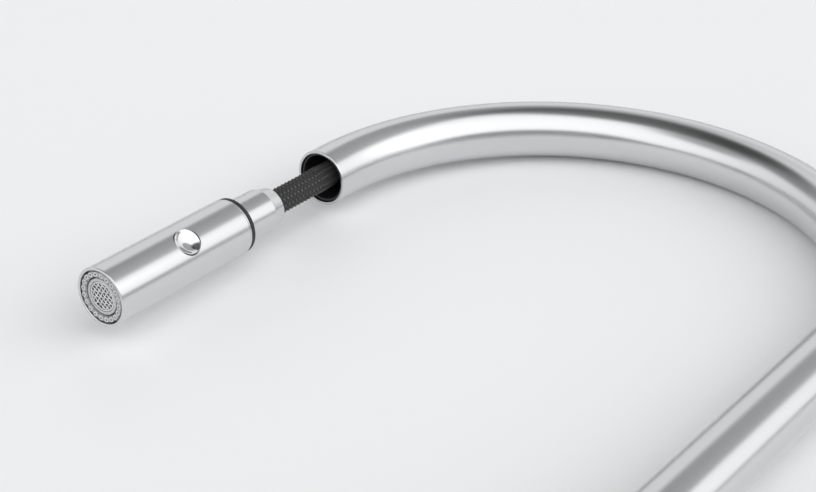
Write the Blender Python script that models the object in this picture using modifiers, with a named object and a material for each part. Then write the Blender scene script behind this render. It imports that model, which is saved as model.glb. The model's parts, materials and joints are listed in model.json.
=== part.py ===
"""Pull-down kitchen faucet with a gooseneck spout, a spray head on a braided hose and a side lever.

Metres, +Z up. The origin is on the deck plane, at the centre of the mounting hole.
The spout reaches toward -Y and the handle is on the +X side. The spray head is stored pulled out
of the spout by PULL_OUT, which is where its joints read zero.
"""

import math

import bmesh
import bpy
from mathutils import Vector
from mathutils.geometry import interpolate_bezier

MM = 0.001
GAP = 0.3 * MM  # between pieces that touch on the real faucet
WELD = 0.00001

# Spout
TUBE_R = 12.5 * MM
TUBE_WALL = 1.2 * MM
ARC_R = 120 * MM
ARC_Z = 325 * MM
MOUTH_STRAIGHT = 8 * MM
BUSH_WALL = 0.9 * MM
BUSH_LENGTH = 12 * MM
SPOUT_COLLAR_H = 8.5 * MM

# Spray head
PULL_OUT = 56 * MM
HEAD_LENGTH = 73 * MM
HEAD_WALL = 1.3 * MM
HEAD_REAR_WALL = 2.5 * MM
SEAL_T = 1.9 * MM
WASHER_T = 0.5 * MM
COLLAR_OUT = 23 * MM
COLLAR_IN = 14 * MM
COLLAR_TAPER = 6 * MM
DOCK_PLAY = 0.35 * MM
BUTTON_R = 5.65 * MM
BUTTON_FROM_REAR = 32 * MM
BUTTON_TURN = math.radians(38)
BUTTON_STROKE = 1.5 * MM
BUTTON_DISH = 2 * MM
CHECK_VALVE_H = 8 * MM
SCREEN_T = 1.5 * MM
NOZZLES = 20
NOZZLE_HOLE_R = 0.5 * MM
RING_T = 4.5 * MM
CUP_H = 14 * MM
MESH_ACROSS = 7  # holes across the screen
MESH_OPEN = 0.576  # open share of the distance between holes
MESH_TURN = math.radians(33)
KEY_TURN = math.radians(146)
FACE_RECESS = 0.4 * MM

# Hose
HOSE_R = 5.7 * MM
FERRULE_WALL = 1.4 * MM
FERRULE_LENGTH = 25 * MM
SWIVEL_NUT_H = 4.2 * MM
HEAD_RUN_RISE = 24 * MM  # how far up the arch the sliding stretch of hose reaches

# Body
BODY_R = 21 * MM
BODY_TOP = 118 * MM
FLANGE_R = 27 * MM
FLANGE_T = 5 * MM
GASKET_T = 1.5 * MM
SHANK_R = 16 * MM
SHANK_WALL = 2.3 * MM
SHANK_DROP = 60 * MM
SHANK_RISE = 22.3 * MM
PASSAGE_R = 7 * MM
PASSAGE_Z = 50 * MM
SOCKET_Z = 90 * MM
RING_SPACE = 2.5 * MM  # radial room for the O-rings round the tube

# Deck clamp
DECK_T = 30 * MM
RUBBER_T = 3 * MM
STEEL_T = 1.8 * MM
CLAMP_RIM = 1.3 * MM  # of washer outside the clamp screws
NUT_FLANGE_T = 4 * MM
NUT_H = 12 * MM
NUT_WALL = 6 * MM
SCREW_R = 2.5 * MM
SCREW_LENGTH = 26 * MM

# Water ways under the body
MANIFOLD_Z = 30 * MM
MANIFOLD_T = 6 * MM
PIPE_R = 3.5 * MM
PIPE_BORE_R = 2.2 * MM
INLET_X = 9.2 * MM
INLET_Y = 2.2 * MM
INLET_DROP = 80 * MM
OUTLET_Y = 9 * MM
CONNECTOR_Y = 45 * MM
CONNECTOR_TOP = -150 * MM
CONNECTOR_H = 26 * MM
SLEEVE_H = 20 * MM

# Cartridge and handle, along +X at this height
HUB_Z = 75 * MM
BOSS_R = 18 * MM
BOSS_END = 36 * MM
CARTRIDGE_R = 14 * MM
CARTRIDGE_WALL = 2.1 * MM
CARTRIDGE_START = 10.4 * MM
CARTRIDGE_END = 34 * MM
CARTRIDGE_FLOOR = 4 * MM
DISC_T = 2.4 * MM
FIXED_DISC_R = 11.5 * MM
MOVING_DISC_R = 7.7 * MM
PIVOT_X = 34 * MM
DOME_R = 16 * MM
DOME_WALL = 1.6 * MM
DOME_HOLE_R = 9 * MM
HUB_R = 15.5 * MM
HUB_END = 60 * MM
STEM_R = 3.5 * MM
PIN_R = 1.5 * MM
LEVER_R = 3.6 * MM
LEVER_LENGTH = 100 * MM
LEVER_X = 54.5 * MM
LEVER_RISE = math.radians(15)

SMOOTH_ANGLE = math.radians(35)
ROUND = 24  # flats round a turned piece
WIDE_ROUND = 40  # on the pieces that show

SHANK_BORE_R = SHANK_R - SHANK_WALL
NUT_HEX_R = SHANK_R + NUT_WALL
SCREW_AT = NUT_HEX_R + SCREW_R + 0.2 * MM
CLAMP_R = SCREW_AT + SCREW_R + CLAMP_RIM
MOUTH_Z = ARC_Z - MOUTH_STRAIGHT
HEAD_Y = -2 * ARC_R
SEAL_TOP = MOUTH_Z - PULL_OUT
HEAD_REAR = SEAL_TOP - SEAL_T - WASHER_T - 2 * GAP
HEAD_FRONT = HEAD_REAR - HEAD_LENGTH
TUBE_BORE_R = TUBE_R - TUBE_WALL
TUBE_FOOT = SOCKET_Z + GAP
HEAD_BORE_R = TUBE_R - HEAD_WALL
BUSH_R = TUBE_BORE_R - GAP
COLLAR_R = BUSH_R - BUSH_WALL - DOCK_PLAY
COLLAR_TOP = SEAL_TOP + COLLAR_OUT
COLLAR_FOOT = SEAL_TOP - COLLAR_IN
FERRULE_R = HOSE_R + GAP + FERRULE_WALL
COLLAR_BORE_R = FERRULE_R + 1.2 * MM
FERRULE_FOOT = COLLAR_TOP - COLLAR_TAPER - 2 * MM - FERRULE_LENGTH
SWIVEL_FOOT = FERRULE_FOOT - GAP - SWIVEL_NUT_H
SOCKET_R = TUBE_R + RING_SPACE
CLAMP_TOP = -DECK_T
STEEL_TOP = CLAMP_TOP - RUBBER_T - GAP
NUT_TOP = STEEL_TOP - STEEL_T - GAP
CONNECTOR_FOOT = CONNECTOR_TOP - CONNECTOR_H
SLEEVE_TOP = CONNECTOR_FOOT - GAP

# Routes in the plane x = 0, as (y, z), chosen by hand
BODY_ROUTE = [(0, 90.4), (0, 70), (0, 52), (-0.9, 40), (-3.6, 28), (-6.4, 15), (-7.3, 0), (-7.3, -25), (-7.3, -60)]
LOOP_ROUTE = [(-7.3, -60.3), (-7.3, -76), (-8.4, -102), (-12, -148), (-18.4, -200), (-25.6, -252), (-30.6, -298),
              (-31.5, -334), (-24.5, -360), (-5.5, -379), (20.5, -386), (46.5, -379), (65.5, -360), (72.5, -334),
              (71, -302), (64.5, -268), (55.5, -238), (48.2, -214), (45.4, -200), (45, -190), (45, -176.9)]
OUTLET_ROUTE = [(9, 29.7), (9, 0), (9, -55), (12, -80), (23, -100), (36, -118), (44, -134), (45, -141), (45, -149.7)]

faucet = bpy.data.collections.new("pull_down_faucet")
cutters = bpy.data.collections.new("cutters")


def material(name, colour, metallic, roughness):
    mat = bpy.data.materials.new(name)
    mat.use_nodes = True
    shader = mat.node_tree.nodes["Principled BSDF"]
    shader.inputs["Base Color"].default_value = (*colour, 1)
    shader.inputs["Metallic"].default_value = metallic
    shader.inputs["Roughness"].default_value = roughness
    return mat


FINISHES = {
    "satin_steel": ((0.62, 0.62, 0.61), 1.0, 0.24),
    "polished_steel": ((0.7, 0.7, 0.7), 1.0, 0.1),
    "brass": ((0.74, 0.56, 0.28), 1.0, 0.32),
    "copper": ((0.72, 0.43, 0.3), 1.0, 0.34),
    "ceramic": ((0.86, 0.85, 0.82), 0.0, 0.22),
    "black_rubber": ((0.02, 0.02, 0.022), 0.0, 0.6),
    "black_braid": ((0.025, 0.025, 0.028), 0.0, 0.45),
    "grey_rubber": ((0.42, 0.43, 0.44), 0.0, 0.55),
    "grey_plastic": ((0.5, 0.51, 0.52), 0.0, 0.4),
    "white_plastic": ((0.82, 0.82, 0.8), 0.0, 0.4),
    "black_plastic": ((0.03, 0.03, 0.033), 0.0, 0.38),
}


def finish(obj, slot):
    """Give a piece its own material and put it with the faucet's pieces."""
    obj.data.materials.clear()
    obj.data.materials.append(material(obj.name + "_" + slot, *FINISHES[slot]))
    for coll in obj.users_collection:
        coll.objects.unlink(obj)
    faucet.objects.link(obj)
    if obj.type == "MESH":
        obj.data.shade_smooth()
        sharp_edges(obj)
    return obj


def sharp_edges(obj):
    if not obj.modifiers:
        obj.data.set_sharp_from_angle(angle=SMOOTH_ANGLE)


def as_cutter(obj):
    for coll in obj.users_collection:
        coll.objects.unlink(obj)
    cutters.objects.link(obj)
    obj.hide_render = True
    obj.display_type = "WIRE"
    return obj


def place(obj, at=(0, 0, 0), turn=(0, 0, 0)):
    obj.location = at
    obj.rotation_euler = turn
    return obj


def turned(name, outline, closed=True, steps=ROUND):
    """A profile of (radius, height) points, outer side first from top to bottom, turned about local Z."""
    mesh = bpy.data.meshes.new(name)
    count = len(outline)
    edges = [(i, i + 1) for i in range(count - 1)]
    if closed:
        edges.append((count - 1, 0))
    mesh.from_pydata([(r, 0, z) for r, z in outline], edges, [])
    obj = bpy.data.objects.new(name, mesh)
    bpy.context.scene.collection.objects.link(obj)
    screw = obj.modifiers.new("turn", "SCREW")
    screw.steps = steps
    screw.render_steps = steps
    screw.use_merge_vertices = True
    screw.merge_threshold = WELD
    screw.use_smooth_shade = True
    return obj


def ring(name, inner, outer, low, high, edge=0.0, steps=ROUND):
    """A washer or bush with its outer corners broken by edge."""
    outline = [(outer - edge, high), (outer, high - edge), (outer, low + edge), (outer - edge, low)]
    if not edge:
        outline = [(outer, high), (outer, low)]
    return turned(name, outline + [(inner, low), (inner, high)], steps=steps)


def disc(name, radius, low, high, edge=0.0, steps=ROUND):
    outline = [(0, high), (radius - edge, high), (radius, high - edge), (radius, low + edge), (radius - edge, low), (0, low)]
    if not edge:
        outline = [(0, high), (radius, high), (radius, low), (0, low)]
    return turned(name, outline, closed=False, steps=steps)


def torus(name, major, minor, height, steps=ROUND, sides=8):
    """An O-ring at this height."""
    points = [2 * math.pi * k / sides for k in range(sides)]
    outline = [(major + minor * math.cos(a), height - minor * math.sin(a)) for a in points]
    return turned(name, outline, steps=steps)


def cylinder(name, radius, low, high, sides=ROUND):
    bpy.ops.mesh.primitive_cylinder_add(vertices=sides, radius=radius, depth=high - low)
    obj = bpy.context.object
    obj.name = name
    obj.data.name = name
    shift = (low + high) / 2
    for vert in obj.data.vertices:
        vert.co.z += shift
    return obj


def box(name, size, centre=(0, 0, 0)):
    bpy.ops.mesh.primitive_cube_add(size=1)
    obj = bpy.context.object
    obj.name = name
    obj.data.name = name
    for vert in obj.data.vertices:
        vert.co = Vector([vert.co[k] * size[k] + centre[k] for k in range(3)])
    return obj


def copies(obj, places):
    """One cutter holding a copy of this mesh at each (x, y), which must not touch each other."""
    work = bmesh.new()
    work.from_mesh(obj.data)
    first = list(work.verts)
    shape = [vert.co.copy() for vert in first]
    faces = [[vert.index for vert in face.verts] for face in work.faces]
    work.clear()
    for x, y in places:
        made = [work.verts.new(co + Vector((x, y, 0))) for co in shape]
        for corners in faces:
            work.faces.new([made[k] for k in corners])
    work.to_mesh(obj.data)
    work.free()
    return obj


def boolean(obj, other, operation="DIFFERENCE"):
    mod = obj.modifiers.new(operation.lower(), "BOOLEAN")
    mod.operation = operation
    mod.solver = "EXACT"
    mod.object = as_cutter(other)
    return obj


def line(name, points, radius, resolution=3, caps=True):
    """A round bar or hose along a polyline."""
    curve = bpy.data.curves.new(name, "CURVE")
    curve.dimensions = "3D"
    curve.bevel_depth = radius
    curve.bevel_resolution = resolution
    curve.use_fill_caps = caps
    spline = curve.splines.new("POLY")
    spline.points.add(len(points) - 1)
    for point, at in zip(spline.points, points):
        point.co = (*at, 1)
    obj = bpy.data.objects.new(name, curve)
    bpy.context.scene.collection.objects.link(obj)
    return obj


def as_mesh(obj):
    """The curve's shape as a mesh object with its caps welded on."""
    depsgraph = bpy.context.evaluated_depsgraph_get()
    mesh = bpy.data.meshes.new_from_object(obj.evaluated_get(depsgraph))
    work = bmesh.new()
    work.from_mesh(mesh)
    bmesh.ops.remove_doubles(work, verts=work.verts, dist=WELD)
    work.to_mesh(mesh)
    work.free()
    made = bpy.data.objects.new(obj.name, mesh)
    made.matrix_world = obj.matrix_world
    bpy.context.scene.collection.objects.link(made)
    name = obj.name
    bpy.data.objects.remove(obj)
    made.name = name
    return made


def smooth_route(route, steps=3):
    """A smooth curve through hand-picked (y, z) points in millimetres, as points in metres."""
    knots = [Vector((0, y, z)) * MM for y, z in route]
    ends = [knots[0] * 2 - knots[1]] + knots + [knots[-1] * 2 - knots[-2]]
    points = []
    for k in range(1, len(ends) - 2):
        before, here, there, after = ends[k - 1 : k + 3]
        reach = (there - here).length
        out = (there - before).normalized() * reach / 3
        back = (after - here).normalized() * reach / 3
        points += interpolate_bezier(here, here + out, there - back, there, steps + 1)[:-1]
    return points + [knots[-1]]


def arch(angle):
    """A point on the spout's centre line: 0 at the leg, pi over the mouth."""
    return Vector((0, ARC_R * (math.cos(angle) - 1), ARC_Z + ARC_R * math.sin(angle)))


def arch_points(first, last, count):
    return [arch(first + (last - first) * k / count) for k in range(count + 1)]


# ---------------------------------------------------------------- body and deck clamp


def body():
    edge = 1.2 * MM
    outline = [
        (0, BODY_TOP),
        (BODY_R - edge, BODY_TOP),
        (BODY_R, BODY_TOP - edge),
        (BODY_R, GASKET_T + FLANGE_T + 2 * GAP + edge),
        (BODY_R - edge, GASKET_T + FLANGE_T + 2 * GAP),
        (0, GASKET_T + FLANGE_T + 2 * GAP),
    ]
    shell = turned("body_shell", outline, closed=False, steps=WIDE_ROUND)
    boss = place(cylinder("boss", BOSS_R, 0, BOSS_END, WIDE_ROUND), (0, 0, HUB_Z), (0, math.pi / 2, 0))
    boolean(shell, boss, "UNION")
    bore = [
        (0, BODY_TOP + 1 * MM),
        (SOCKET_R, BODY_TOP + 1 * MM),
        (SOCKET_R, SOCKET_Z),
        (PASSAGE_R, SOCKET_Z),
        (PASSAGE_R, PASSAGE_Z),
        (SHANK_BORE_R + GAP, PASSAGE_Z - 6 * MM),
        (SHANK_BORE_R + GAP, SHANK_RISE + GAP),
        (SHANK_R + GAP, SHANK_RISE + GAP),
        (SHANK_R + GAP, 0),
        (0, 0),
    ]
    boolean(shell, turned("body_bore", bore, closed=False))
    pocket = cylinder("cartridge_pocket", CARTRIDGE_R + GAP, CARTRIDGE_START - 1.4 * MM, BOSS_END + 1 * MM)
    boolean(shell, place(pocket, (0, 0, HUB_Z), (0, math.pi / 2, 0)))
    finish(shell, "satin_steel")

    low = GASKET_T + GAP
    flange = [
        (FLANGE_R - 2 * MM, low + FLANGE_T),
        (FLANGE_R, low + FLANGE_T - 2 * MM),
        (FLANGE_R, low),
        (SHANK_R + 2 * GAP, low),
        (SHANK_R + 2 * GAP, low + FLANGE_T),
    ]
    finish(turned("base_flange", flange, steps=WIDE_ROUND), "satin_steel")
    finish(ring("base_gasket", SHANK_R + 2 * GAP, FLANGE_R - 1 * MM, 0, GASKET_T), "black_rubber")


def deck_clamp():
    shank = ring("shank", SHANK_BORE_R, SHANK_R, -SHANK_DROP, SHANK_RISE, 0.8 * MM)
    finish(shank, "brass")
    bore = SHANK_R + 2 * GAP
    finish(ring("rubber_washer", bore, CLAMP_R, CLAMP_TOP - RUBBER_T, CLAMP_TOP), "black_rubber")
    finish(ring("steel_washer", bore, CLAMP_R, STEEL_TOP - STEEL_T, STEEL_TOP), "satin_steel")
    nut = disc("shank_nut", CLAMP_R + 1 * MM, NUT_TOP - NUT_FLANGE_T, NUT_TOP, 0.6 * MM)
    boolean(nut, cylinder("nut_hex", NUT_HEX_R, NUT_TOP - NUT_H, NUT_TOP - 1 * MM, 6), "UNION")
    boolean(nut, cylinder("nut_bore", bore, NUT_TOP - NUT_H - 1 * MM, NUT_TOP + 1 * MM))
    for side in (-1, 1):
        hole = cylinder("screw_hole", SCREW_R + GAP, -SCREW_LENGTH, SCREW_LENGTH, 24)
        boolean(nut, place(hole, (side * SCREW_AT, 0, NUT_TOP)))
    finish(nut, "brass")
    for number, side in enumerate((-1, 1), 1):
        head_r = 1.8 * SCREW_R
        head_h = 4 * MM
        outline = [
            (0, NUT_TOP),
            (SCREW_R, NUT_TOP),
            (SCREW_R, NUT_TOP - SCREW_LENGTH + head_h),
            (head_r, NUT_TOP - SCREW_LENGTH + head_h),
            (head_r, NUT_TOP - SCREW_LENGTH),
            (0, NUT_TOP - SCREW_LENGTH),
        ]
        screw = turned(f"clamp_screw_{number}", outline, closed=False, steps=24)
        slot = box("screw_slot", (2 * head_r + 1 * MM, 1.1 * MM, 3 * MM), (0, 0, NUT_TOP - SCREW_LENGTH))
        boolean(place(screw, (side * SCREW_AT, 0, 0)), place(slot, (side * SCREW_AT, 0, 0)))
        finish(screw, "polished_steel")


# ---------------------------------------------------------------- water ways below the body


def water_ways():
    plate = disc("manifold", SHANK_BORE_R - 0.1 * MM, MANIFOLD_Z, MANIFOLD_Z + MANIFOLD_T)
    way = cylinder("hose_way", HOSE_R + 1.6 * MM, MANIFOLD_Z - 1 * MM, MANIFOLD_Z + MANIFOLD_T + 1 * MM, 32)
    boolean(plate, place(way, (0, -2.1 * MM, 0)))
    for x, y in ((-INLET_X, INLET_Y), (INLET_X, INLET_Y), (0, OUTLET_Y)):
        port = cylinder("port", PIPE_BORE_R, MANIFOLD_Z - 1 * MM, MANIFOLD_Z + MANIFOLD_T + 1 * MM, 24)
        boolean(plate, place(port, (x, y, 0)))
    finish(plate, "brass")

    top = MANIFOLD_Z - GAP
    for name, side in (("inlet_hot", -1), ("inlet_cold", 1)):
        nipple = 1.2 * MM
        start = -SHANK_DROP - 5 * MM
        outline = [
            (PIPE_R, top),
            (PIPE_R, start),
            (PIPE_R + nipple, start - nipple),
            (PIPE_R + nipple, -INLET_DROP),
            (PIPE_BORE_R, -INLET_DROP),
            (PIPE_BORE_R, top),
        ]
        stub = turned(name, outline, steps=32)
        finish(place(stub, (side * INLET_X, INLET_Y, 0)), "brass")

    pipe = as_mesh(line("outlet_pipe", smooth_route(OUTLET_ROUTE, 2), PIPE_R, 5, caps=False))
    wall = pipe.modifiers.new("wall", "SOLIDIFY")
    wall.thickness = PIPE_R - PIPE_BORE_R
    wall.offset = -1
    finish(pipe, "copper")


def hose_connector():
    edge = 1 * MM
    wide = HOSE_R + 3.6 * MM
    outline = [
        (wide - edge, CONNECTOR_TOP),
        (wide, CONNECTOR_TOP - edge),
        (wide, CONNECTOR_TOP - 6 * MM),
        (wide - 1.5 * MM, CONNECTOR_TOP - 7.5 * MM),
        (wide - 1.5 * MM, CONNECTOR_FOOT + 8 * MM),
        (wide, CONNECTOR_FOOT + 6.5 * MM),
        (wide, CONNECTOR_FOOT + edge),
        (wide - edge, CONNECTOR_FOOT),
        (PIPE_BORE_R, CONNECTOR_FOOT),
        (PIPE_BORE_R, CONNECTOR_TOP),
    ]
    body_part = turned("quick_connector", outline)
    tab = box("tab", (10 * MM, 5 * MM, 7 * MM), (0, wide, CONNECTOR_TOP - 12 * MM))
    boolean(body_part, place(tab, (0, 0, 0)), "UNION")
    for piece in (body_part, tab):
        piece.location.y = CONNECTOR_Y
    finish(body_part, "black_plastic")

    bore = HOSE_R + GAP
    outer = bore + FERRULE_WALL
    foot = SLEEVE_TOP - SLEEVE_H
    groove = 0.5 * MM
    outline = [
        (outer, SLEEVE_TOP),
        (outer, SLEEVE_TOP - 5 * MM),
        (outer - groove, SLEEVE_TOP - 6 * MM),
        (outer - groove, SLEEVE_TOP - 9 * MM),
        (outer, SLEEVE_TOP - 10 * MM),
        (outer, foot),
        (bore, foot),
        (bore, SLEEVE_TOP - GAP),
        (PIPE_BORE_R, SLEEVE_TOP - GAP),
        (PIPE_BORE_R, SLEEVE_TOP),
    ]
    finish(place(turned("hose_sleeve", outline), (0, CONNECTOR_Y, 0)), "polished_steel")


# ---------------------------------------------------------------- spout


def spout():
    route = [Vector((0, 0, TUBE_FOOT))]
    route += arch_points(0, math.pi, 32)
    route.append(Vector((0, HEAD_Y, MOUTH_Z)))
    tube = as_mesh(line("spout_tube", route, TUBE_R, 12, caps=False))
    wall = tube.modifiers.new("wall", "SOLIDIFY")
    wall.thickness = TUBE_WALL
    wall.offset = -1
    finish(tube, "satin_steel")

    low = BODY_TOP + GAP
    high = low + SPOUT_COLLAR_H
    inner = TUBE_R + GAP
    outline = [
        (inner + 1.2 * MM, high),
        (inner + 2.2 * MM, high - 0.8 * MM),
        (BODY_R - 0.6 * MM, low + 1.8 * MM),
        (BODY_R, low + 1 * MM),
        (BODY_R, low),
        (inner, low),
        (inner, high),
    ]
    finish(turned("spout_collar", outline, steps=WIDE_ROUND), "satin_steel")

    ring_r = (RING_SPACE - 2 * GAP) / 2
    for number, height in enumerate((SOCKET_Z + 7 * MM, BODY_TOP - 12 * MM), 1):
        finish(torus(f"spout_o_ring_{number}", TUBE_R + GAP + ring_r, ring_r, height), "black_rubber")
    bush_low = BODY_TOP - 8 * MM
    finish(ring("swivel_bush", TUBE_R + GAP, SOCKET_R - GAP, bush_low, BODY_TOP - 0.6 * MM), "white_plastic")

    liner = ring("dock_bush", BUSH_R - BUSH_WALL, BUSH_R, 0, BUSH_LENGTH, 0.2 * MM)
    finish(place(liner, (0, HEAD_Y, MOUTH_Z + 1 * MM)), "black_plastic")


# ---------------------------------------------------------------- hose


def hose():
    """The spray hose, whole, in four stretches that meet end to end."""
    split = math.pi - math.asin(HEAD_RUN_RISE / ARC_R)
    step = (math.pi - split) / 4
    run = [Vector((0, HEAD_Y, FERRULE_FOOT + 1 * MM)), Vector((0, HEAD_Y, SEAL_TOP + COLLAR_OUT))]
    run += [Vector((0, HEAD_Y, MOUTH_Z - 12 * MM)), Vector((0, HEAD_Y, MOUTH_Z))]
    square = 0.005  # a short last stretch keeps the ends square to the route
    run += [arch(math.pi - step * k) for k in range(4)] + [arch(split + square), arch(split)]
    finish(line("hose_head_run", run, HOSE_R), "black_braid")

    start = split - 2 * GAP / ARC_R
    run = [arch(start)] + arch_points(start - square, 0, 24)
    foot = TUBE_FOOT + 1 * MM
    run += [Vector((0, 0, ARC_Z + (foot - ARC_Z) * k / 8)) for k in range(1, 9)]
    finish(line("hose_arch_run", run, HOSE_R), "black_braid")

    finish(line("hose_body_run", smooth_route(BODY_ROUTE, 2), HOSE_R), "black_braid")
    finish(line("hose_loop", smooth_route(LOOP_ROUTE, 2), HOSE_R), "black_braid")


def hose_end():
    bore = HOSE_R + GAP
    groove = 0.5 * MM
    high = FERRULE_FOOT + FERRULE_LENGTH
    outline = [
        (FERRULE_R, high),
        (FERRULE_R, high - 6 * MM),
        (FERRULE_R - groove, high - 7 * MM),
        (FERRULE_R - groove, high - 12 * MM),
        (FERRULE_R, high - 13 * MM),
        (FERRULE_R, FERRULE_FOOT),
        (PIPE_BORE_R, FERRULE_FOOT),
        (PIPE_BORE_R, FERRULE_FOOT + 1 * MM - GAP),
        (bore, FERRULE_FOOT + 1 * MM - GAP),
        (bore, high),
    ]
    finish(place(turned("hose_ferrule", outline), (0, HEAD_Y, 0)), "polished_steel")
    nut = ring("swivel_nut", PIPE_BORE_R, COLLAR_BORE_R - 0.4 * MM, SWIVEL_FOOT, FERRULE_FOOT - GAP, 0.4 * MM)
    finish(place(nut, (0, HEAD_Y, 0)), "brass")


# ---------------------------------------------------------------- spray head


def radial(obj, radius=0.0, height=HEAD_REAR - BUTTON_FROM_REAR):
    """Stand a piece made along local Z out of the head's side, where the button is."""
    out = Vector((math.cos(BUTTON_TURN), math.sin(BUTTON_TURN), 0))
    return place(obj, Vector((0, HEAD_Y, height)) + out * radius, (0, math.pi / 2, BUTTON_TURN))


def head():
    edge = 0.35 * MM
    lip = COLLAR_R + GAP
    outline = [
        (TUBE_R - edge, HEAD_REAR),
        (TUBE_R, HEAD_REAR - edge),
        (TUBE_R, HEAD_FRONT + edge),
        (TUBE_R - edge, HEAD_FRONT),
        (HEAD_BORE_R, HEAD_FRONT),
        (HEAD_BORE_R, HEAD_REAR - HEAD_REAR_WALL),
        (lip, HEAD_REAR - HEAD_REAR_WALL),
        (lip, HEAD_REAR),
    ]
    shell = place(turned("head_shell", outline, steps=WIDE_ROUND), (0, HEAD_Y, 0))
    hole = cylinder("button_hole", BUTTON_R + GAP, HEAD_BORE_R / 2, TUBE_R + 2 * MM, 40)
    boolean(shell, radial(hole))
    finish(shell, "satin_steel")

    washer_low = HEAD_REAR + GAP
    washer = ring("dock_washer", lip + 0.2 * MM, TUBE_R - 0.4 * MM, washer_low, washer_low + WASHER_T)
    finish(place(washer, (0, HEAD_Y, 0)), "polished_steel")
    seal = ring("dock_seal", lip + 0.1 * MM, TUBE_R - 0.4 * MM, SEAL_TOP - SEAL_T, SEAL_TOP, 0.5 * MM)
    finish(place(seal, (0, HEAD_Y, 0)), "black_rubber")

    neck = FERRULE_R
    mouth = HOSE_R + 0.5 * MM
    collar = [
        (mouth + 0.9 * MM, COLLAR_TOP),
        (mouth + 1.6 * MM, COLLAR_TOP - 0.6 * MM),
        (COLLAR_R - 0.35 * MM, COLLAR_TOP - COLLAR_TAPER),
        (COLLAR_R, COLLAR_TOP - COLLAR_TAPER - 1 * MM),
        (COLLAR_R, COLLAR_FOOT),
        (COLLAR_BORE_R, COLLAR_FOOT),
        (COLLAR_BORE_R, COLLAR_TOP - COLLAR_TAPER - 1.2 * MM),
        (neck, COLLAR_TOP - COLLAR_TAPER - 1.2 * MM),
        (mouth, COLLAR_TOP - COLLAR_TAPER + 1.5 * MM),
        (mouth, COLLAR_TOP),
    ]
    finish(place(turned("dock_collar", collar, steps=WIDE_ROUND), (0, HEAD_Y, 0)), "satin_steel")


def head_inside():
    front = HEAD_FRONT + FACE_RECESS
    bore = HEAD_BORE_R - GAP
    cup_r = bore - 3.3 * MM

    ring_r = cup_r + GAP
    face = ring("spray_ring", ring_r + 0.35 * MM, bore, front, front + RING_T, 0.2 * MM)
    place(face, (0, HEAD_Y, 0))
    nozzle_at = (ring_r + bore) / 2 + 0.2 * MM
    angles = [2 * math.pi * (k + 0.3) / NOZZLES for k in range(NOZZLES)]
    hole = cylinder("nozzle_holes", NOZZLE_HOLE_R, front - 1 * MM, front + RING_T + 1 * MM, 8)
    copies(hole, [(nozzle_at * math.cos(a), nozzle_at * math.sin(a)) for a in angles])
    boolean(face, place(hole, (0, HEAD_Y, 0)))
    for angle in (KEY_TURN, KEY_TURN + math.pi):
        slot = box("key_slot", (1.6 * MM, 3 * MM, 2 * MM), (bore, 0, front))
        boolean(face, place(slot, (0, HEAD_Y, 0), (0, 0, angle)))
    finish(face, "grey_rubber")

    cup_low = front + 0.3 * MM
    cup_high = cup_low + CUP_H
    wall = 1.2 * MM
    outline = [
        (cup_r, cup_high),
        (cup_r, cup_low + 0.3 * MM),
        (cup_r - 0.3 * MM, cup_low),
        (cup_r - wall, cup_low),
        (cup_r - wall, cup_high),
    ]
    finish(place(turned("aerator_cup", outline), (0, HEAD_Y, 0)), "grey_plastic")

    screen_r = cup_r - wall - GAP
    screen = disc("mesh_screen", screen_r, cup_low + 0.2 * MM, cup_low + 1.4 * MM)
    place(screen, (0, HEAD_Y, 0))
    pitch = 2 * screen_r / (MESH_ACROSS + 0.4)
    mesh_hole = MESH_OPEN * pitch
    reach = MESH_ACROSS // 2
    lines = [pitch * k for k in range(-reach, reach + 1)]
    spots = [(x, y) for x in lines for y in lines if math.hypot(x, y) + mesh_hole < screen_r]
    hole = copies(box("mesh_holes", (mesh_hole, mesh_hole, 4 * MM), (0, 0, cup_low)), spots)
    boolean(screen, place(hole, (0, HEAD_Y, 0), (0, 0, MESH_TURN)))
    finish(screen, "polished_steel")

    seal_low = cup_high + GAP
    seal_high = seal_low + 3.5 * MM
    finish(place(ring("face_seal", cup_r - 1.6 * MM, bore, seal_low, seal_high), (0, HEAD_Y, 0)), "black_rubber")

    core_low = seal_high + GAP
    valve_high = min(COLLAR_FOOT, SWIVEL_FOOT) - GAP
    valve_low = valve_high - CHECK_VALVE_H
    screen_high = valve_low - GAP
    screen_low = screen_high - SCREEN_T
    core_high = screen_low - GAP
    core = place(disc("valve_core", bore, core_low, core_high, 0.4 * MM), (0, HEAD_Y, 0))
    pocket = cylinder("button_pocket", BUTTON_R + GAP, 2.6 * MM, TUBE_R + 1 * MM, 40)
    boolean(core, radial(pocket))
    way = cylinder("core_way", 2 * MM, core_low - 1 * MM, core_high + 1 * MM, 24)
    across = 6.2 * MM
    at = (-across * math.cos(BUTTON_TURN), HEAD_Y - across * math.sin(BUTTON_TURN), 0)
    boolean(core, place(way, at))
    finish(core, "white_plastic")

    inlet = ring("inlet_screen", 3 * MM, bore - 2 * MM, screen_low, screen_high)
    finish(place(inlet, (0, HEAD_Y, 0)), "grey_rubber")
    valve = ring("check_valve", 2.4 * MM, bore - 3 * MM, valve_low, valve_high, 0.5 * MM)
    finish(place(valve, (0, HEAD_Y, 0)), "grey_plastic")


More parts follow.
